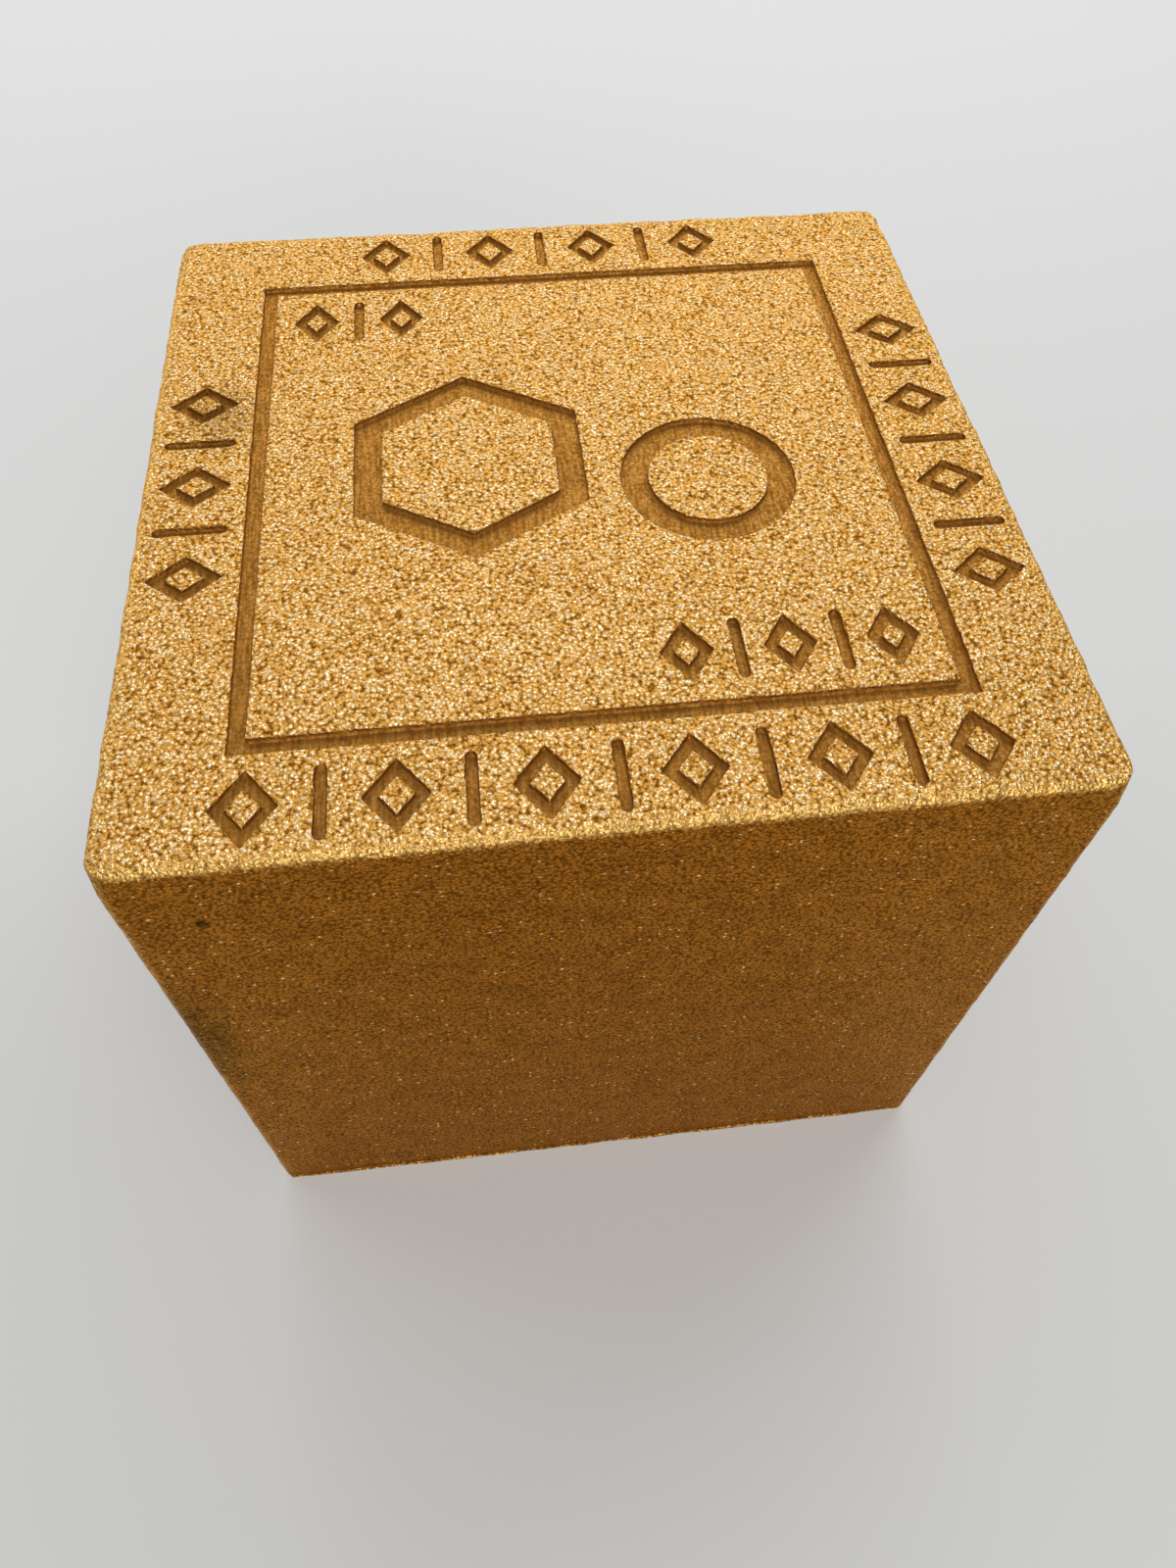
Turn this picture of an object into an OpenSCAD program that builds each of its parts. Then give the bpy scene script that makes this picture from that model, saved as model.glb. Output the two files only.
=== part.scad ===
// Copper ingot: one cast cube with rounded edges, and a top face engraved with a square frame,
// two large figures and rows of small marks. Millimetres, +Z up, with the origin at the centre
// of the base. The front face looks towards -Y.

/* [Block] */
// Width of the block, left to right
block_w = 63.5; // [56:0.5:100]
// Depth of the block, front to back
block_d = 63.5; // [56:0.5:100]
// Height of the block
block_h = 63.5; // [20:0.5:100]
// Radius of the four upright edges
upright_edge_r = 1.2; // [0.4:0.1:3]
// Radius of the edges round the top face and the base
rim_edge_r = 0.5; // [0.3:0.1:2]

/* [Engraving] */
// Depth of every engraved channel below the top face
engraved_depth = 0.4; // [0.3:0.05:1.5]

/* [Frame groove] */
// Distance from the block's sides to the outer edge of the groove
frame_margin = 7.75; // [7:0.25:10]
// Width of the groove
frame_groove_w = 1.1; // [0.8:0.1:2]

/* [Border rows] */
// Size of a border mark across its row
border_mark_h = 5.2; // [3:0.1:6]
// Size of a border lozenge along its row
border_lozenge_w = 4.2; // [3:0.1:5]
// Width of the channel that draws a border mark
border_stroke = 0.75; // [0.5:0.05:1.2]
// Distance between the middles of neighbouring border marks
border_pitch = 4.55; // [4:0.05:8]
// Least distance from the block's corners to the front row
front_row_inset = 6.5; // [4:0.5:25]
// Least distance from the block's corners to the back row
back_row_inset = 15.5; // [4:0.5:25]
// Least distance from the block's corners to the left row
left_row_inset = 20; // [4:0.5:25]
// Least distance from the block's corners to the right row
right_row_inset = 15.5; // [4:0.5:25]

/* [Corner rows] */
// Distance from the groove's inner edge to a corner row
corner_gap = 1.6; // [1:0.1:3]
// Size of a corner mark across its row
corner_mark_h = 5; // [3:0.1:5]
// Size of a corner lozenge along its row
corner_lozenge_w = 3.6; // [2.6:0.1:4]
// Width of the channel that draws a corner mark
corner_stroke = 0.75; // [0.5:0.05:1.1]
// Distance between the middles of neighbouring corner marks
corner_pitch = 3.5; // [3:0.05:4]
// Number of marks in the row at the back left
back_left_count = 3; // [1:2:5]
// Number of marks in the row at the front right
front_right_count = 5; // [1:2:7]

/* [Large figures] */
// Height of the hexagon, from point to point
hexagon_h = 19.7; // [12:0.1:20]
// Outer diameter of the ring
ring_d = 13; // [8:0.1:15]
// Width of the channel that draws the hexagon and the ring
figure_stroke = 2; // [1:0.1:3]
// Gap between the hexagon and the ring
figure_gap = 2.6; // [1:0.1:5]
// Distance from the middle of the face to the line that both figures stand on
figure_drop = 9; // [6:0.1:10]

/* [Hidden] */
$fn = 64;
copper = [0.80, 0.55, 0.28];
// Extra height of a cutter above the face that it cuts
cutter_rise = 1;
// Width of a regular hexagon that stands on a point, for a height of 1
hexagon_aspect = cos(30);
hexagon_w = hexagon_h * hexagon_aspect;
figures_w = hexagon_w + figure_gap + ring_d;
// Half of the clear field inside the groove
field_half_w = block_w / 2 - frame_margin - frame_groove_w;
field_half_d = block_d / 2 - frame_margin - frame_groove_w;

// Length of a row of marks, from tip to tip of its end lozenges
function row_length(count, pitch, lozenge_w) = (count - 1) * pitch + lozenge_w;

// Largest odd number of marks that fit in a run, so that a row starts and ends with a lozenge
function row_count(run, pitch, lozenge_w) = 2 * floor(max(0, run - lozenge_w) / (2 * pitch)) + 1;

// Rectangle with round corners, about its centre
module rounded_rectangle(w, h, r) {
    square([w - 2 * r, h], center = true);
    square([w, h - 2 * r], center = true);
    for (x = [-1, 1], y = [-1, 1])
        translate([x * (w / 2 - r), y * (h / 2 - r)])
            circle(r);
}

// The cast block before engraving: the common part of three bars, one along each axis
module cast_block() {
    intersection() {
        linear_extrude(block_h)
            rounded_rectangle(block_w, block_d, upright_edge_r);
        translate([0, 0, block_h / 2])
            rotate([90, 0, 0])
                linear_extrude(block_d, center = true)
                    rounded_rectangle(block_w, block_h, rim_edge_r);
        translate([0, 0, block_h / 2])
            rotate([90, 0, 90])
                linear_extrude(block_w, center = true)
                    rounded_rectangle(block_d, block_h, rim_edge_r);
    }
}

// Square line round the field in the middle of the face
module frame_groove() {
    difference() {
        square([block_w - 2 * frame_margin, block_d - 2 * frame_margin], center = true);
        square([2 * field_half_w, 2 * field_half_d], center = true);
    }
}

// Lozenge drawn with a channel of even width
module lozenge(w, h, stroke) {
    // Distance from the centre to each side
    side_distance = w * h / (2 * norm([w, h]));
    corners = [[w / 2, 0], [0, h / 2], [-w / 2, 0], [0, -h / 2]];
    difference() {
        polygon(corners);
        polygon(corners * (1 - stroke / side_distance));
    }
}

// Straight channel with round ends, across its row
module bar(h, stroke) {
    square([stroke, h - stroke], center = true);
    for (end = [-1, 1])
        translate([0, end * (h - stroke) / 2])
            circle(d = stroke);
}

// Lozenges and bars by turns, in a row about its centre along X
module mark_row(count, pitch, lozenge_w, mark_h, stroke) {
    for (i = [0 : count - 1])
        translate([(i - (count - 1) / 2) * pitch, 0])
            if (i % 2 == 0)
                lozenge(lozenge_w, mark_h, stroke);
            else
                bar(mark_h, stroke);
}

// Row in the middle of the margin, as long as the side and its inset allow
module border_row(side_length, inset) {
    run = side_length - 2 * inset;
    mark_row(
        row_count(run, border_pitch, border_lozenge_w),
        border_pitch, border_lozenge_w, border_mark_h, border_stroke
    );
}

module border_rows() {
    row_x = (block_w - frame_margin) / 2;
    row_y = (block_d - frame_margin) / 2;
    translate([0, -row_y]) border_row(block_w, front_row_inset);
    translate([0, row_y]) border_row(block_w, back_row_inset);
    translate([-row_x, 0]) rotate(90) border_row(block_d, left_row_inset);
    translate([row_x, 0]) rotate(90) border_row(block_d, right_row_inset);
}

// Row tucked into a corner of the field: toward is [-1, 1] for the back left
module corner_row(count, toward) {
    row_w = row_length(count, corner_pitch, corner_lozenge_w);
    translate([
        toward.x * (field_half_w - corner_gap - row_w / 2),
        toward.y * (field_half_d - corner_gap - corner_mark_h / 2)
    ])
        mark_row(count, corner_pitch, corner_lozenge_w, corner_mark_h, corner_stroke);
}

// Hexagon and ring side by side, standing on one line
module large_figures() {
    translate([(hexagon_w - figures_w) / 2, hexagon_h / 2 - figure_drop])
        rotate(90)
            difference() {
                circle(d = hexagon_h, $fn = 6);
                circle(d = hexagon_h - 2 * figure_stroke / hexagon_aspect, $fn = 6);
            }
    translate([(figures_w - ring_d) / 2, ring_d / 2 - figure_drop])
        difference() {
            circle(d = ring_d);
            circle(d = ring_d - 2 * figure_stroke);
        }
}

module ingot() {
    color(copper)
        difference() {
            cast_block();
            translate([0, 0, block_h - engraved_depth])
                linear_extrude(engraved_depth + cutter_rise) {
                    frame_groove();
                    border_rows();
                    corner_row(back_left_count, [-1, 1]);
                    corner_row(front_right_count, [1, -1]);
                    large_figures();
                }
        }
}

ingot();
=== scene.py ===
"""Cast copper ingot, dressed around its packed block.

The block's mesh is copied, the rims of its engraved channels are rounded, and its faces are cut
into a fine net. The net then takes the relief of the cast skin, and one copper finish colours the
skin, the channels and the marks of wear, with painted shade in the pits, on the sides and on the
channel walls, and painted highlights on the peaks, the crystals and the rubbed edges. Lengths in
the dataclasses are in millimetres.
"""

import logging
import math
from dataclasses import dataclass, field
from enum import Enum, IntEnum

import bmesh
import bpy
from bmesh.types import BMesh, BMFace, BMVert
from mathutils import Matrix, Vector, noise

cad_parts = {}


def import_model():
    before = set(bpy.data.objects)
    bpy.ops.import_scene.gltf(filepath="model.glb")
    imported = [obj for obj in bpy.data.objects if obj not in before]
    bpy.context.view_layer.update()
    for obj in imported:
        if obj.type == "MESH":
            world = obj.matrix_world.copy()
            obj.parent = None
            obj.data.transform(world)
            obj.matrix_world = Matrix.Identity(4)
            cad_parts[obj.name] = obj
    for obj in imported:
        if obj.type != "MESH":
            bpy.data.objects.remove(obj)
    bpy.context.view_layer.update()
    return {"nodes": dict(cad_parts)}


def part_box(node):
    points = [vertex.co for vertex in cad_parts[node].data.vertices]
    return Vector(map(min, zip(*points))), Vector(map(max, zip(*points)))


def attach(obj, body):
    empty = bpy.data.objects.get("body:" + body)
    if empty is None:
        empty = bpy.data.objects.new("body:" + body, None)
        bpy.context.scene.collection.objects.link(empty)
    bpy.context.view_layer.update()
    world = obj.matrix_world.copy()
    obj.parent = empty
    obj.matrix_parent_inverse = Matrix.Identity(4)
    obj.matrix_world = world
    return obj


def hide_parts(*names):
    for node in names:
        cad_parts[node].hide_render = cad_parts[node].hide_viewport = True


LOG = logging.getLogger("copper_ingot")
MM = 0.001
# Number of finer layers in a cloudy pattern
CLOUD_DETAIL = 4.0
Band = tuple[float, float]
Triple = tuple[float, float, float]
Colour = Triple
Socket = bpy.types.NodeSocket


def clamp(value: float) -> float:
    """Keeps a value between 0 and 1."""
    return min(1.0, max(0.0, value))


class Axis(IntEnum):
    """An axis of the row frame."""

    X = 0
    Y = 1
    Z = 2

    def unit(self) -> Vector:
        """The unit vector along the axis."""
        return Vector([float(self == axis) for axis in Axis])


class Zone(IntEnum):
    """A part of the block's surface, with a net of its own."""

    TOP = 1
    SIDES = 2
    BASE = 3


class SkinMark(Enum):
    """A mesh attribute that the copper finish reads."""

    ENGRAVED = "engraved"
    RUBBED_SHEEN = "rubbed_sheen"
    WALL_SHADED = "wall_shaded"


@dataclass(frozen=True)
class CastGrain:
    """Relief that the mould leaves on the skin."""

    swell_size: float = 7.0
    swell_height: float = 0.04
    lump_size: float = 1.9
    lump_height: float = 0.025
    pebble_size: float = 0.9
    pebble_height: float = 0.06
    pebble_middle: float = 0.45
    grit_size: float = 0.5
    grit_height: float = 0.04
    wander_size: float = 1.7
    wander_height: float = 0.12
    wander_middle: float = 0.8
    flash_size: float = 2.3
    flash_reach: float = 0.13
    ragged_size: float = 0.55
    ragged_reach: float = 0.07

    def height(self, place: Vector, coarse: bool) -> float:
        """Works out how far the skin stands proud of the plain block.

        Args:
            place: A point on the plain block, in millimetres.
            coarse: True where the net is too wide for pebbles and grit.

        Returns:
            The height in millimetres, below zero in a pit.
        """
        swell = noise.noise(place / self.swell_size) * self.swell_height
        lump = noise.noise(place / self.lump_size) * self.lump_height
        if coarse:
            return swell + lump
        nearest = noise.voronoi(place / self.pebble_size)[0][0]
        pebble = (self.pebble_middle - nearest) * self.pebble_height
        grit = noise.noise(place / self.grit_size) * self.grit_height
        return swell + lump + pebble + grit

    def wander(self, place: Vector) -> float:
        """How far a rubbed edge strays from its line at a point, mostly inwards, in millimetres."""
        return (noise.noise(place / self.wander_size) - self.wander_middle) * self.wander_height

    def flash(self, place: Vector) -> float:
        """How far the flash along the mould's joint stands out at a point, in millimetres."""
        return (1.0 + noise.noise(place / self.flash_size)) * self.flash_reach

    def raggedness(self, place: Vector) -> Vector:
        """The level move of a channel's rim at a point, in millimetres."""
        stray = noise.noise_vector(place / self.ragged_size) * self.ragged_reach
        return Vector((stray.x, stray.y, 0.0))


class NodeBoard:
    """A material's node tree, with short calls that add nodes and join them."""

    def __init__(self, material: bpy.types.Material) -> None:
        """Clears the material's tree.

        Args:
            material: The material that the nodes belong to.
        """
        material.use_nodes = True
        self.tree = material.node_tree
        self.tree.nodes.clear()

    def add(
        self, kind: str, choices: dict[str, str] | None = None, **inputs: object
    ) -> bpy.types.Node:
        """Adds a node.

        Args:
            kind: The node's type name, without the ShaderNode in front.
            choices: The node's own settings, by name.
            **inputs: A socket to join or a value to set, by input name with _ for a space.

        Returns:
            The new node.
        """
        made = self.tree.nodes.new("ShaderNode" + kind)
        for name, choice in (choices or {}).items():
            setattr(made, name, choice)
        for name, value in inputs.items():
            self.feed(made.inputs[name.replace("_", " ")], value)
        return made

    def feed(self, entry: Socket, value: object) -> None:
        """Joins a socket to an input, or sets the input's value.

        Args:
            entry: The input.
            value: An output socket, or a plain value.
        """
        if isinstance(value, Socket):
            self.tree.links.new(value, entry)
        else:
            entry.default_value = value

    def sums(self, operation: str, *terms: object) -> Socket:
        """Adds a Math node.

        Args:
            operation: The Math node's operation.
            *terms: Sockets or numbers, in order.

        Returns:
            The result.
        """
        made = self.add("Math", {"operation": operation})
        for entry, term in zip(made.inputs, terms):
            self.feed(entry, term)
        return made.outputs[0]

    def ramp(self, value: Socket, band: Band, ends: Band = (0.0, 1.0)) -> Socket:
        """Maps a range of a value smoothly to another range.

        Args:
            value: The socket to map.
            band: The values that give the two ends.
            ends: The results at the two ends of the band.

        Returns:
            The mapped value.
        """
        made = self.add("MapRange", {"interpolation_type": "SMOOTHSTEP"})
        for entry, term in zip(made.inputs, (value, *band, *ends)):
            self.feed(entry, term)
        return made.outputs[0]

    def mix(self, share: Socket, first: object, second: object, blend: str = "MIX") -> Socket:
        """Mixes two colours.

        Args:
            share: How much of the second colour shows, from 0 to 1.
            first: The first colour, as a socket or as red, green and blue.
            second: The second colour, likewise.
            blend: The Mix node's blend type.

        Returns:
            The mixed colour.
        """
        made = self.add("Mix", {"data_type": "RGBA", "blend_type": blend})
        colours = [entry for entry in made.inputs if entry.type == "RGBA"]
        for entry, colour in zip(colours, (first, second)):
            self.feed(entry, (*colour, 1.0) if isinstance(colour, tuple) else colour)
        self.feed(made.inputs[0], share)
        return next(entry for entry in made.outputs if entry.type == "RGBA")

    def stretched(self, place: Socket, scale: Triple) -> Socket:
        """Stretches coordinates by a factor along each axis."""
        return self.add("Mapping", Vector=place, Scale=scale).outputs[0]

    def grain(self, place: Socket, size: float, detail: float = 2.0) -> Socket:
        """Adds a noise pattern with patches of a size, about 0.5 on average."""
        made = self.add("TexNoise", Vector=place, Scale=1.0 / (size * MM), Detail=detail)
        return made.outputs[0]

    def cells(self, place: Socket, size: float) -> bpy.types.Node:
        """Adds a pattern of irregular cells of a size."""
        return self.add("TexVoronoi", Vector=place, Scale=1.0 / (size * MM))


@dataclass(frozen=True)
class Stain:
    """A dull patch on the skin, with a ragged edge."""

    place: Triple
    reach: Triple
    tone: Colour
    strength: float
    ragged: float = 1.2
    fade: Band = (0.55, 1.45)

    def share(self, board: NodeBoard, place: Socket) -> Socket:
        """Makes the patch.

        Args:
            board: The board that gets the nodes.
            place: The coordinates.

        Returns:
            How much of the stain shows, up to its strength in the middle and 0 outside.
        """
        scale = tuple(1.0 / (reach * MM) for reach in self.reach)
        shift = tuple(-middle / reach for middle, reach in zip(self.place, self.reach))
        local = board.add("Mapping", Vector=place, Location=shift, Scale=scale).outputs[0]
        away = board.add("VectorMath", {"operation": "LENGTH"}, Vector=local).outputs["Value"]
        edge = board.sums("ADD", away, board.grain(place, self.ragged, CLOUD_DETAIL))
        return board.ramp(edge, self.fade, (self.strength, 0.0))


@dataclass(frozen=True)
class CopperFinish:
    """Cast copper with a pebbled skin, darker in its pits as painted shade, and smooth engraved
    channels.

    A band gives two heights of the skin, or two values of a pattern, between which a tone changes.
    """

    name: str = "cast_copper"
    # Top tones by skin height: the pit tone darkens hollows as painted shade, the peak tone pales tops
    # as a painted highlight
    peak: Colour = (0.98, 0.85, 0.58)
    plain: Colour = (0.72, 0.37, 0.072)
    pit: Colour = (0.21, 0.075, 0.008)
    # Darker copy of the copper for the sides, as painted shade
    shaded_side_peak: Colour = (0.55, 0.203, 0.023)
    shaded_side_pit: Colour = (0.15, 0.045, 0.004)
    # Paler tone of the crystals on the sides, as a painted glint
    painted_glint: Colour = (1.0, 0.73, 0.37)
    # Tone of the rubbed edges: wear, and a painted highlight along the rims
    edge: Colour = (1.0, 0.60, 0.17)
    floor: Colour = (0.52, 0.245, 0.040)
    floor_streak: Colour = (0.34, 0.148, 0.020)
    # Tone of the channel walls and the edge of their floors, as painted shade
    wall_shade: Colour = (0.30, 0.13, 0.020)
    patina: Colour = (0.74, 0.68, 0.62)
    glancing: Colour = (1.0, 0.79, 0.50)
    plain_band: Band = (-0.12, 0.25)
    peak_band: Band = (0.26, 0.58)
    side_band: Band = (-0.05, 0.55)
    rubbed_sheen_band: Band = (-0.05, 0.4)
    rubbed_sheen_cover: Band = (0.35, 1.0)
    # Upward parts of the normal between which a side, painted darker as shade, becomes the top
    level_band: Band = (0.3, 0.7)
    peak_roughness: float = 0.22
    pit_roughness: float = 0.48
    floor_roughness: float = 0.3
    floor_smoothness: float = 0.85
    floor_cover: float = 0.9
    wall_shade_cover: float = 0.75
    pebble_size: float = 0.28
    pebble_share: float = 0.8
    pebble_middle: float = 0.56
    grit_size: float = 0.17
    grit_share: float = 1.0
    grit_middle: float = 0.3
    skin_depth: float = 0.13
    hatch_size: float = 0.24
    hatch_stretch: float = 0.1
    hatch_detail: float = 1.0
    hatch_band: Band = (0.35, 0.65)
    flake_size: float = 0.68
    flake_flatness: float = 1.7
    flake_rarity: float = 0.76
    flake_band: Band = (0.05, 0.36)
    flake_height: float = 0.28
    patina_size: float = 2.4
    patina_band: Band = (0.38, 0.72)
    patina_cover: float = 0.8
    stains: tuple[Stain, ...] = (
        Stain(
            place=(-31.4, -31.75, 38.0), reach=(5.0, 3.0, 15.0), tone=(0.36, 0.38, 0.42),
            strength=0.9, ragged=1.8,
        ),
        Stain(
            place=(-26.4, -31.75, 56.8), reach=(0.9, 0.9, 0.9), tone=(0.08, 0.06, 0.05),
            strength=1.0, ragged=0.5,
        ),
        # A darker patch on the left margin of the top
        Stain(
            place=(-26.4, 7.6, 63.5), reach=(4.0, 6.0, 2.0), tone=(0.60, 0.60, 0.60), strength=0.8
        ),
    )

    def material(self) -> bpy.types.Material:
        """Makes the finish.

        Returns:
            The new material.
        """
        made = bpy.data.materials.new(self.name)
        board = NodeBoard(made)
        place = board.add("TexCoord").outputs["Object"]
        marks = {}
        for mark in SkinMark:
            marks[mark] = board.add("Attribute", {"attribute_name": mark.value}).outputs["Fac"]
        skin = self.skin(board, place)
        normal = board.add("NewGeometry").outputs["Normal"]
        # Sides, found by their normal, take the darker copy of the copper as painted shade
        level = board.ramp(board.add("SeparateXYZ", Vector=normal).outputs["Z"], self.level_band)
        upright = board.sums("SUBTRACT", 1.0, level)
        crystals_and_glints = board.sums("MULTIPLY", self.crystals_and_glints(board, place), upright)
        tone = board.mix(level, self.shaded_side_tone(board, place, skin, crystals_and_glints), self.top_tone(board, skin))
        tone = self.marked_tone(board, place, skin, marks, tone)
        smooth = board.sums("MULTIPLY", marks[SkinMark.ENGRAVED], self.floor_smoothness)
        height = board.sums("MULTIPLY", skin, board.sums("SUBTRACT", 1.0, smooth))
        height = board.sums("MULTIPLY_ADD", crystals_and_glints, self.flake_height / self.skin_depth, height)
        bump = board.add("Bump", Height=height, Distance=self.skin_depth * MM, Strength=1.0)
        dull = board.ramp(skin, self.side_band, (self.pit_roughness, self.peak_roughness))
        dull = board.sums("MULTIPLY_ADD", marks[SkinMark.ENGRAVED], self.floor_roughness, dull)
        shader = board.add(
            "BsdfPrincipled", Base_Color=tone, Metallic=1.0, Roughness=dull,
            Normal=bump.outputs[0], Specular_Tint=(*self.glancing, 1.0),
        )
        board.add("OutputMaterial", Surface=shader.outputs[0])
        return made

    def skin(self, board: NodeBoard, place: Socket) -> Socket:
        """Makes the height of the pebbled skin.

        Args:
            board: The board that gets the nodes.
            place: The coordinates.

        Returns:
            The height, about 0 in a pit and 0.5 on a peak.
        """
        away = board.cells(place, self.pebble_size).outputs["Distance"]
        middle = self.pebble_share * self.pebble_middle
        pebble = board.sums("MULTIPLY_ADD", away, -self.pebble_share, middle)
        grit = board.grain(place, self.grit_size)
        middle = self.grit_share * self.grit_middle
        grit = board.sums("MULTIPLY_ADD", grit, self.grit_share, -middle)
        return board.sums("ADD", pebble, grit)

    def crystals_and_glints(self, board: NodeBoard, place: Socket) -> Socket:
        """Makes the crystals, raised in the bump and painted as bright glints, most of them faint.

        Args:
            board: The board that gets the nodes.
            place: The coordinates.

        Returns:
            Up to 1 on a crystal, and 0 elsewhere.
        """
        flat = board.stretched(place, (1.0, 1.0, self.flake_flatness))
        cells = board.cells(flat, self.flake_size)
        chance = board.add("SeparateXYZ", Vector=cells.outputs["Color"]).outputs["X"]
        rare = board.ramp(chance, (self.flake_rarity, 1.0))
        near = board.ramp(cells.outputs["Distance"], self.flake_band, (1.0, 0.0))
        return board.sums("MULTIPLY", rare, near)

    def top_tone(self, board: NodeBoard, skin: Socket) -> Socket:
        """Makes the colour of the top from the height of its skin, with painted shade in the pits and a
        painted highlight on the peaks.
        """
        tone = board.mix(board.ramp(skin, self.plain_band), self.pit, self.plain)
        return board.mix(board.ramp(skin, self.peak_band), tone, self.peak)

    def shaded_side_tone(self, board: NodeBoard, place: Socket, skin: Socket, crystals_and_glints: Socket) -> Socket:
        """Makes the colour of the sides: a darker copy of the copper as painted shade, with crystals
        painted as bright glints and a faint patina.

        Args:
            board: The board that gets the nodes.
            place: The coordinates.
            skin: The height of the pebbled skin.
            crystals_and_glints: The bright crystals.

        Returns:
            The colour.
        """
        tone = board.mix(board.ramp(skin, self.side_band), self.shaded_side_pit, self.shaded_side_peak)
        # Crystals on the sides, lightened as painted glints
        tone = board.mix(crystals_and_glints, tone, self.painted_glint)
        cloud = board.grain(place, self.patina_size, CLOUD_DETAIL)
        mottle = board.ramp(cloud, self.patina_band, (0.0, self.patina_cover))
        return board.mix(mottle, tone, self.patina, "MULTIPLY")

    def marked_tone(
        self, board: NodeBoard, place: Socket, skin: Socket, marks: dict[SkinMark, Socket], tone: Socket
    ) -> Socket:
        """Lays rubbed edges lightened as a painted highlight, channel floors, painted shade on the
        channel walls and stains over a colour.

        Args:
            board: The board that gets the nodes.
            place: The coordinates.
            skin: The height of the pebbled skin.
            marks: The skin's attributes.
            tone: The colour of the plain skin.

        Returns:
            The colour with its marks.
        """
        # Rubbed edges: wear, with a lighter tone that is a painted highlight
        proud = board.ramp(skin, self.rubbed_sheen_band, self.rubbed_sheen_cover)
        tone = board.mix(board.sums("MULTIPLY", marks[SkinMark.RUBBED_SHEEN], proud), tone, self.edge)
        streaks = board.stretched(place, (1.0, self.hatch_stretch, 1.0))
        hatch = board.ramp(board.grain(streaks, self.hatch_size, self.hatch_detail), self.hatch_band)
        floor = board.mix(hatch, self.floor_streak, self.floor)
        cover = board.sums("MULTIPLY", marks[SkinMark.ENGRAVED], self.floor_cover)
        tone = board.mix(cover, tone, floor)
        # Channel walls and a thin band of their floors, darkened as painted shade
        cover = board.sums("MULTIPLY", marks[SkinMark.WALL_SHADED], self.wall_shade_cover)
        tone = board.mix(cover, tone, self.wall_shade)
        for stain in self.stains:
            tone = board.mix(stain.share(board, place), tone, stain.tone, "MULTIPLY")
        return tone


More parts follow.
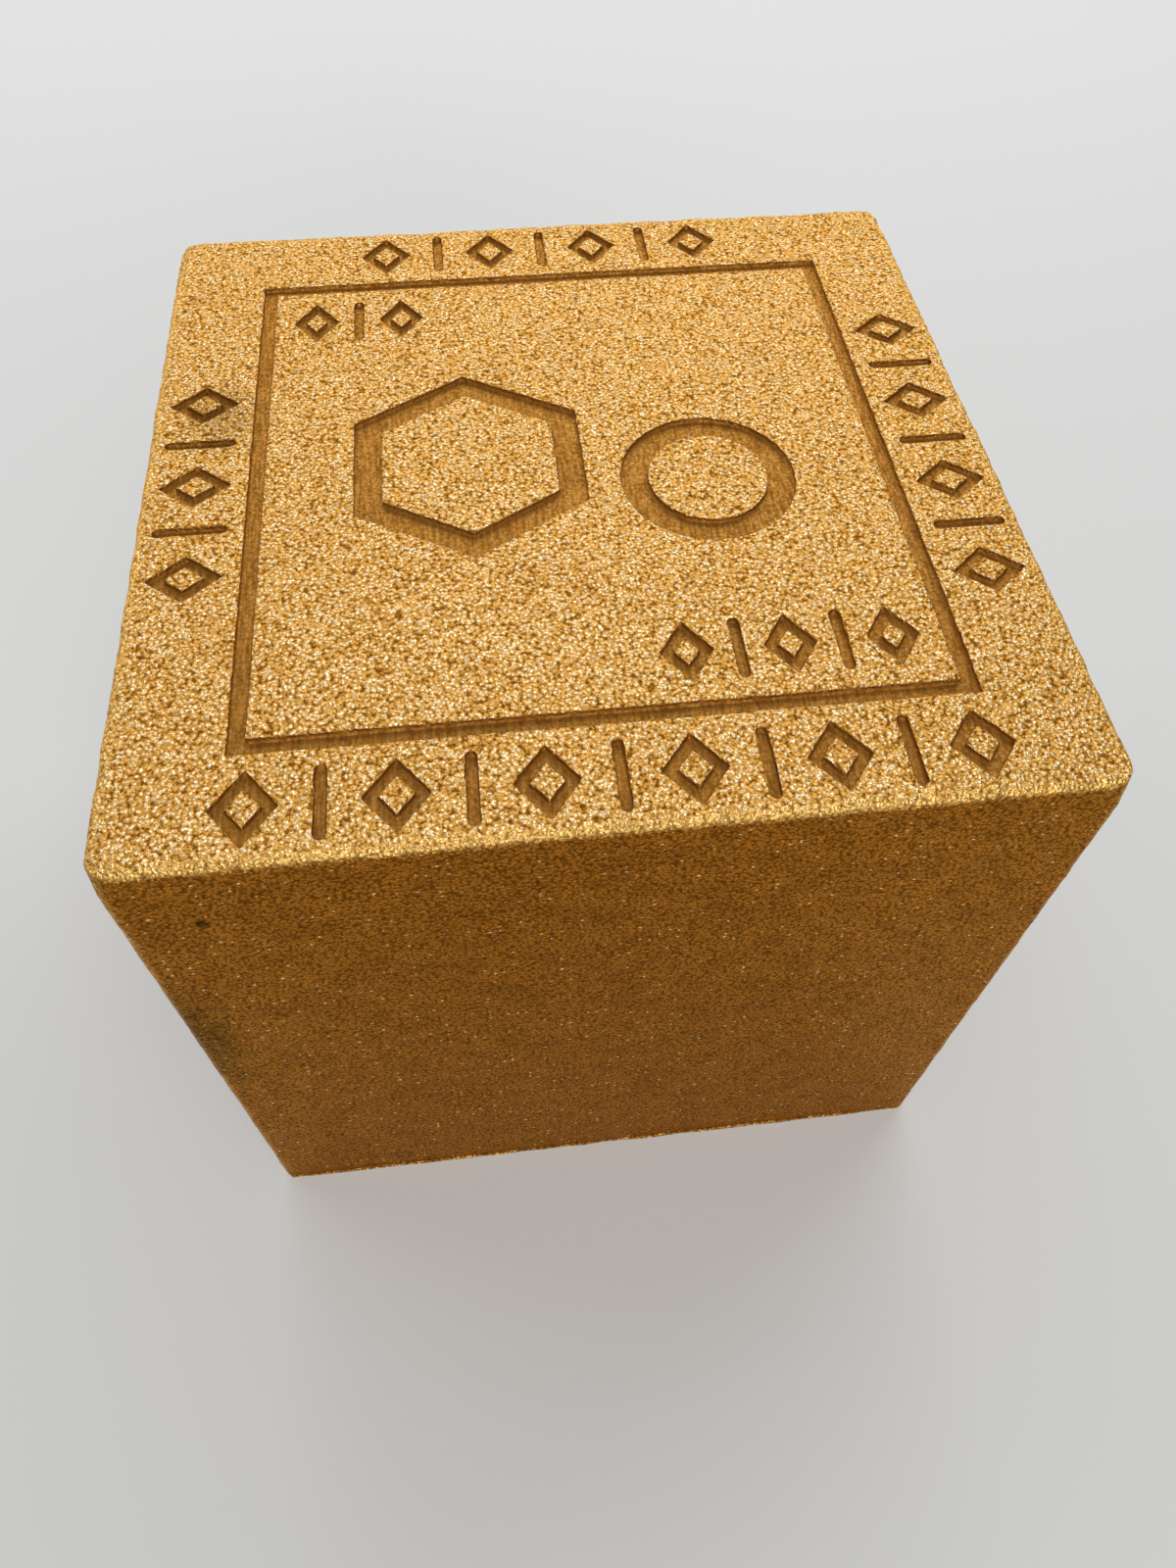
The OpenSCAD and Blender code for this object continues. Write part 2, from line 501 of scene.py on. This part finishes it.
@dataclass
class Ingot:
    """The cast block, with its engraved top and its pebbled skin."""

    node: bpy.types.Object
    low: Vector
    high: Vector
    name: str = "cast_ingot"
    merge_gap: float = 0.002
    # Greatest angle between neighbours of one flat face, in degrees
    flat_angle: float = 0.5
    # Upward parts of the normal, for a level face and for an upright one
    level_slope: float = 0.99
    upright_slope: float = 0.1
    rim_round: float = 0.08
    edge_band: float = 0.6
    channel_inset: float = 1.0
    channel_depth: float = 0.4
    # Shares of the channel's depth, for the floor and for the deepest point that still counts
    floor_share: float = 0.9
    deepest_share: float = 1.2
    # Painted shade of the channel walls: its band on the floors, its depth below the top, and the
    # slopes over which it fades
    wall_shade_width: float = 0.16
    wall_shade_depth: float = 0.8
    wall_shade_slope: float = 0.95
    wall_shade_fade: float = 0.5
    # Rubbed edges, polished by wear and lightened by the finish as a painted highlight
    rubbed_sheen_width: float = 0.9
    rubbed_sheen_share: float = 0.8
    rubbed_sheen_gain: float = 1.4
    upright_rubbed_sheen_share: float = 0.3
    upright_rubbed_sheen_slope: float = 0.995
    upright_rubbed_sheen_fade: float = 0.15
    corner_reach: float = 1.7
    corner_push: float = 0.35
    corner_drop: float = 3.0
    flash_low: float = 0.2
    flash_high: float = 0.55
    flash_slope: float = 0.5
    top_net: float = 0.37
    side_net: float = 0.75
    base_net: float = 2.0
    quick_net: float = 3.0
    shortest_edge: float = 0.03
    # Least likeness of the normals round a point that is free to drift in its face
    drift_flatness: float = 0.9999
    drift_cell: float = 0.4
    drift_share: float = 0.6
    side_relief: float = 0.75
    channel_relief: float = 0.25
    grain: CastGrain = field(default_factory=CastGrain)
    finish: CopperFinish = field(default_factory=CopperFinish)

    def build(self) -> bpy.types.Object:
        """Makes the dressed ingot.

        Returns:
            The new object, at the origin.
        """
        mesh = bmesh.new()
        mesh.from_mesh(self.node.data)
        mesh.faces.layers.int.new("zone")
        self.clean_copy(mesh)
        self.round_rims(mesh)
        self.line_floors(mesh)
        self.cut_net(mesh)
        self.shift_net(mesh)
        self.raise_skin(mesh)
        data = bpy.data.meshes.new(self.name)
        mesh.to_mesh(data)
        mesh.free()
        data.materials.append(self.finish.material())
        made = bpy.data.objects.new(self.name, data)
        bpy.context.scene.collection.objects.link(made)
        return made

    def clean_copy(self, mesh: BMesh) -> None:
        """Merges the copy's loose triangles into whole flat faces.

        Args:
            mesh: The copy of the block.
        """
        bmesh.ops.remove_doubles(mesh, verts=mesh.verts[:], dist=self.merge_gap * MM)
        bmesh.ops.dissolve_limit(
            mesh, angle_limit=math.radians(self.flat_angle), verts=mesh.verts[:], edges=mesh.edges[:]
        )

    def round_rims(self, mesh: BMesh) -> None:
        """Rounds the upper rims of the channels.

        Args:
            mesh: The copy of the block.
        """
        rims = []
        slack = self.shortest_edge * MM
        for edge in mesh.edges:
            level = all(abs(vert.co.z - self.high.z) < slack for vert in edge.verts)
            slopes = sorted(abs(face.normal.z) for face in edge.link_faces)
            if level and slopes[0] < self.upright_slope and slopes[1] > self.level_slope:
                rims.append(edge)
        bmesh.ops.bevel(
            mesh, geom=rims, offset=self.rim_round * MM, offset_type="OFFSET", segments=2,
            profile=0.5, affect="EDGES", material=-1, clamp_overlap=False,
        )

    def line_floors(self, mesh: BMesh) -> None:
        """Draws a line along the walls on every channel floor, where the painted wall shade ends.

        Args:
            mesh: The block with rounded rims.
        """
        mesh.normal_update()
        floors = []
        for face in mesh.faces:
            deep = self.depth_in_channel(face.verts[0].co) > self.floor_share
            if face.normal.z > self.level_slope and deep:
                floors.append(face)
        bmesh.ops.inset_region(
            mesh, faces=floors, thickness=self.wall_shade_width * MM, use_boundary=True, use_even_offset=True
        )

    def cut_net(self, mesh: BMesh) -> None:
        """Cuts every face into a net, finest on the top.

        Args:
            mesh: The block with rounded rims.
        """
        band = self.edge_band * MM
        self.cut_by_halves(mesh, mesh.faces[:], Axis.Z, [self.low.z + band, self.high.z - band])
        zone = mesh.faces.layers.int["zone"]
        for face in mesh.faces:
            middle = face.calc_center_median().z
            above, below = middle > self.high.z - band, middle < self.low.z + band
            face[zone] = Zone.TOP if above else Zone.BASE if below else Zone.SIDES
        coarser = 1.0
        nets = ((Zone.SIDES, self.side_net), (Zone.BASE, self.base_net), (Zone.TOP, self.top_net))
        for part, pitch in nets:
            for axis in Axis:
                faces = [face for face in mesh.faces if face[zone] == part]
                reach = self.high[axis] - self.low[axis]
                count = round(reach / (pitch * MM * coarser))
                places = [self.low[axis] + reach * step / count for step in range(1, count)]
                if part is Zone.SIDES or axis is not Axis.Z:
                    self.cut_by_halves(mesh, faces, axis, places)
        bmesh.ops.dissolve_degenerate(mesh, dist=self.shortest_edge * MM, edges=mesh.edges[:])
        loose = [vert for vert in mesh.verts if not vert.link_faces]
        bmesh.ops.delete(mesh, geom=loose, context="VERTS")
        bmesh.ops.triangulate(
            mesh, faces=mesh.faces[:], quad_method="SHORT_EDGE", ngon_method="BEAUTY"
        )

    def cut_by_halves(
        self, mesh: BMesh, faces: list[BMFace], axis: Axis, places: list[float]
    ) -> None:
        """Cuts faces across an axis at every place, the middle one first.

        Args:
            mesh: The mesh that holds the faces.
            faces: The faces to cut.
            axis: The axis.
            places: Where to cut along it, in metres, in rising order.
        """
        if not places or not faces:
            return
        half = len(places) // 2
        place = places[half]
        slack = self.shortest_edge * MM / 2
        below: list[BMFace] = []
        above: list[BMFace] = []
        crossed: list[BMFace] = []
        for face in faces:
            reach = [vert.co[axis] for vert in face.verts]
            if max(reach) <= place + slack:
                below.append(face)
            elif min(reach) >= place - slack:
                above.append(face)
            else:
                crossed.append(face)
        if crossed:
            edges = dict.fromkeys(edge for face in crossed for edge in face.edges)
            verts = dict.fromkeys(vert for face in crossed for vert in face.verts)
            cut = bmesh.ops.bisect_plane(
                mesh, geom=[*verts, *edges, *crossed], dist=slack,
                plane_co=axis.unit() * place, plane_no=axis.unit(),
            )
            for item in cut["geom"]:
                if isinstance(item, BMFace):
                    side = below if item.calc_center_median()[axis] < place else above
                    side.append(item)
        self.cut_by_halves(mesh, below, axis, places[:half])
        self.cut_by_halves(mesh, above, axis, places[half + 1:])

    def shift_net(self, mesh: BMesh) -> None:
        """Moves the net's points about within their flat faces, so that no rows show.

        Args:
            mesh: The cut block.
        """
        mesh.normal_update()
        zone = mesh.faces.layers.int["zone"]
        pitches = {Zone.TOP: self.top_net, Zone.SIDES: self.side_net, Zone.BASE: self.base_net}
        moves: list[tuple[BMVert, Vector]] = []
        for vert in mesh.verts:
            if any(face.normal.dot(vert.normal) < self.drift_flatness for face in vert.link_faces):
                continue
            room = min(edge.calc_length() for edge in vert.link_edges)
            pitch = pitches[Zone(vert.link_faces[0][zone])] * MM
            drift = noise.cell_vector(vert.co / (self.drift_cell * pitch)) - Vector((0.5, 0.5, 0.5))
            drift -= vert.normal * drift.dot(vert.normal)
            moves.append((vert, drift * self.drift_share * min(pitch, room)))
        for vert, move in moves:
            vert.co += move

    def raise_skin(self, mesh: BMesh) -> None:
        """Gives the net the relief of the cast skin, and notes its marks for the finish.

        Args:
            mesh: The cut block.
        """
        mesh.normal_update()
        engraved = mesh.verts.layers.float.new(SkinMark.ENGRAVED.value)
        rubbed_sheen = mesh.verts.layers.float.new(SkinMark.RUBBED_SHEEN.value)
        wall_shaded = mesh.verts.layers.float.new(SkinMark.WALL_SHADED.value)
        zone = mesh.faces.layers.int["zone"]
        moves: list[tuple[BMVert, Vector]] = []
        for vert in mesh.verts:
            parts = {face[zone] for face in vert.link_faces}
            depth = self.depth_in_channel(vert.co)
            vert[engraved] = depth
            vert[rubbed_sheen] = self.wear(vert)
            vert[wall_shaded] = self.wall_shade(vert)
            height = self.grain.height(vert.co / MM, coarse=Zone.BASE in parts)
            if Zone.TOP not in parts:
                height *= self.side_relief
            height *= 1.0 + (self.channel_relief - 1.0) * depth
            if Zone.BASE in parts:
                height = -abs(height) + self.flash(vert)
            else:
                height += vert[rubbed_sheen] * self.grain.wander(vert.co / MM)
            stray = self.grain.raggedness(vert.co / MM) * vert[wall_shaded] + self.corner_wear(vert.co)
            moves.append((vert, (vert.normal * height + stray) * MM))
        for vert, move in moves:
            vert.co += move
        for face in mesh.faces:
            face.smooth = True

    def gaps(self, place: Vector) -> list[float]:
        """How far a point lies from the block's nearer end along each axis, in metres."""
        return [min(place[axis] - self.low[axis], self.high[axis] - place[axis]) for axis in Axis]

    def wear(self, vert: BMVert) -> float:
        """Works out how far handling has polished a point of the plain block's edges, which the finish
        also lightens as a painted highlight.

        Args:
            vert: The point.

        Returns:
            0 on flat faces and in the engraving, and up to 1 on the edges.
        """
        gaps = self.gaps(vert.co)
        if gaps[Axis.Z] > self.edge_band * MM:
            square = max(abs(part) for part in vert.normal)
            rounded = clamp((self.upright_rubbed_sheen_slope - square) / self.upright_rubbed_sheen_fade)
            return self.upright_rubbed_sheen_share * rounded
        away = max(gaps[Axis.Z], min(gaps[Axis.X], gaps[Axis.Y]))
        return self.rubbed_sheen_share * clamp(self.rubbed_sheen_gain * (1.0 - away / (self.rubbed_sheen_width * MM)))

    def flash(self, vert: BMVert) -> float:
        """Works out how far a point stands out in the thin flash along the front of the base.

        Args:
            vert: The point.

        Returns:
            The distance in millimetres, 0 off the flash.
        """
        rise = (vert.co.z - self.low.z) / MM
        if vert.normal.y > -self.flash_slope or not self.flash_low < rise < self.flash_high:
            return 0.0
        return self.grain.flash(vert.co / MM)

    def corner_wear(self, place: Vector) -> Vector:
        """Works out how far handling has rubbed back a corner of the top.

        Args:
            place: A point on the plain block, in metres.

        Returns:
            The level move in millimetres, towards the middle.
        """
        gaps = self.gaps(place)
        near = max(0.0, self.corner_reach - (gaps[Axis.X] + gaps[Axis.Y]) / MM)
        fade = max(0.0, 1.0 - (self.high.z - place.z) / (self.corner_drop * MM))
        inward = Vector((-math.copysign(1.0, place.x), -math.copysign(1.0, place.y), 0.0))
        return inward.normalized() * (near * fade * self.corner_push)

    def wall_shade(self, vert: BMVert) -> float:
        """Works out how far the painted shade of a channel's wall covers a point.

        Args:
            vert: The point.

        Returns:
            0 on the skin and on the middle of a channel floor, and 1 on a channel's wall.
        """
        if not self.in_field(vert.co) or vert.co.z < self.high.z - self.wall_shade_depth * MM:
            return 0.0
        steepest = min(abs(face.normal.z) for face in vert.link_faces)
        return clamp((self.wall_shade_slope - steepest) / self.wall_shade_fade)

    def depth_in_channel(self, place: Vector) -> float:
        """How deep a point lies in a channel: 0 on the skin, and 1 on a channel's floor."""
        deep = (self.high.z - place.z) / (self.channel_depth * MM)
        return min(1.0, deep) if self.in_field(place) and deep < self.deepest_share else 0.0

    def in_field(self, place: Vector) -> bool:
        """Tells whether a point lies inside the edges that no channel reaches.

        Args:
            place: A point on the plain block, in metres.

        Returns:
            True inside.
        """
        inset = self.channel_inset * MM
        flat = (Axis.X, Axis.Y)
        return all(self.low[axis] + inset < place[axis] < self.high[axis] - inset for axis in flat)


@dataclass(frozen=True)
class Panel:
    """A soft lamp that faces the ingot. Its level is how bright it looks, where 1 is white."""

    name: str
    place: Triple
    size: tuple[float, float]
    level: float

    def hang(self, target: Vector) -> None:
        """Hangs the lamp.

        Args:
            target: The point that it faces.
        """
        lamp = bpy.data.lights.new(self.name, "AREA")
        lamp.shape = "RECTANGLE"
        lamp.size, lamp.size_y = (side * MM for side in self.size)
        lamp.energy = self.level * math.pi * lamp.size * lamp.size_y
        made = bpy.data.objects.new(self.name, lamp)
        bpy.context.scene.collection.objects.link(made)
        place = Vector(self.place)
        made.rotation_euler = (target - place).to_track_quat("-Z", "Y").to_euler()
        made.location = place * MM


@dataclass
class Studio:
    """Pale floor, soft lamps and the camera of the photograph's view."""

    floor_colour: Colour = (0.70, 0.71, 0.70)
    floor_roughness: float = 0.85
    floor_reach: float = 4000.0
    world_level: float = 0.22
    target: Triple = (0.0, 0.0, 45.0)
    panels: tuple[Panel, ...] = (
        Panel("back_panel", place=(100.0, 360.0, 280.0), size=(800.0, 240.0), level=2.6),
        Panel("left_panel", place=(-340.0, 230.0, 210.0), size=(260.0, 260.0), level=1.5),
        Panel("high_panel", place=(0.0, -250.0, 420.0), size=(300.0, 300.0), level=3.2),
        Panel("front_panel", place=(70.0, -520.0, 230.0), size=(320.0, 200.0), level=3.9),
    )
    camera_place: Triple = (-7.529, -65.721, 124.232)
    camera_ahead: Triple = (0.08345, 0.60422, -0.79244)
    camera_right: Triple = (0.99327, -0.11457, 0.01725)
    nearest: float = 5.0
    film_width: float = 36.0
    lens: float = 27.02
    lens_shift: float = -0.075

    def build(self) -> None:
        """Sets up the floor, the light and the camera."""
        self.lay_floor()
        self.light()
        self.set_camera()

    def lay_floor(self) -> None:
        """Lays the floor that the ingot stands on."""
        mesh = bmesh.new()
        bmesh.ops.create_grid(mesh, x_segments=1, y_segments=1, size=self.floor_reach * MM / 2)
        data = bpy.data.meshes.new("floor")
        mesh.to_mesh(data)
        mesh.free()
        paint = bpy.data.materials.new("floor_paint")
        board = NodeBoard(paint)
        shader = board.add(
            "BsdfPrincipled", Base_Color=(*self.floor_colour, 1.0), Roughness=self.floor_roughness
        )
        board.add("OutputMaterial", Surface=shader.outputs[0])
        data.materials.append(paint)
        floor = bpy.data.objects.new("floor", data)
        bpy.context.scene.collection.objects.link(floor)

    def light(self) -> None:
        """Hangs the lamps and sets the world."""
        world = bpy.data.worlds.new("studio_world")
        bpy.context.scene.world = world
        world.use_nodes = True
        sky = world.node_tree.nodes["Background"]
        sky.inputs["Color"].default_value = (1.0, 1.0, 1.0, 1.0)
        sky.inputs["Strength"].default_value = self.world_level
        for panel in self.panels:
            panel.hang(Vector(self.target))

    def set_camera(self) -> None:
        """Places the camera where the photograph was taken from."""
        data = bpy.data.cameras.new("camera")
        data.lens = self.lens
        data.sensor_width = self.film_width
        data.shift_y = self.lens_shift
        data.clip_start = self.nearest * MM
        camera = bpy.data.objects.new("camera", data)
        bpy.context.scene.collection.objects.link(camera)
        ahead = Vector(self.camera_ahead).normalized()
        right = Vector(self.camera_right)
        right = (right - ahead * right.dot(ahead)).normalized()
        turn = Matrix((right, right.cross(ahead), -ahead)).transposed().to_4x4()
        camera.matrix_world = Matrix.Translation(Vector(self.camera_place) * MM) @ turn
        bpy.context.scene.camera = camera


def main() -> None:
    """Builds the ingot and the studio, and reports each piece."""
    logging.basicConfig(level=logging.INFO, format="%(name)s: %(message)s")
    bpy.context.scene.view_settings.view_transform = "Standard"
    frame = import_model()
    studio = Studio()
    studio.build()
    low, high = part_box("ingot")
    ingot = Ingot(node=frame["nodes"]["ingot"], low=low, high=high).build()
    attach(ingot, "root")
    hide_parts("ingot")
    LOG.info("%s: %d triangles", ingot.name, len(ingot.data.polygons))


if __name__ == "__main__":
    main()
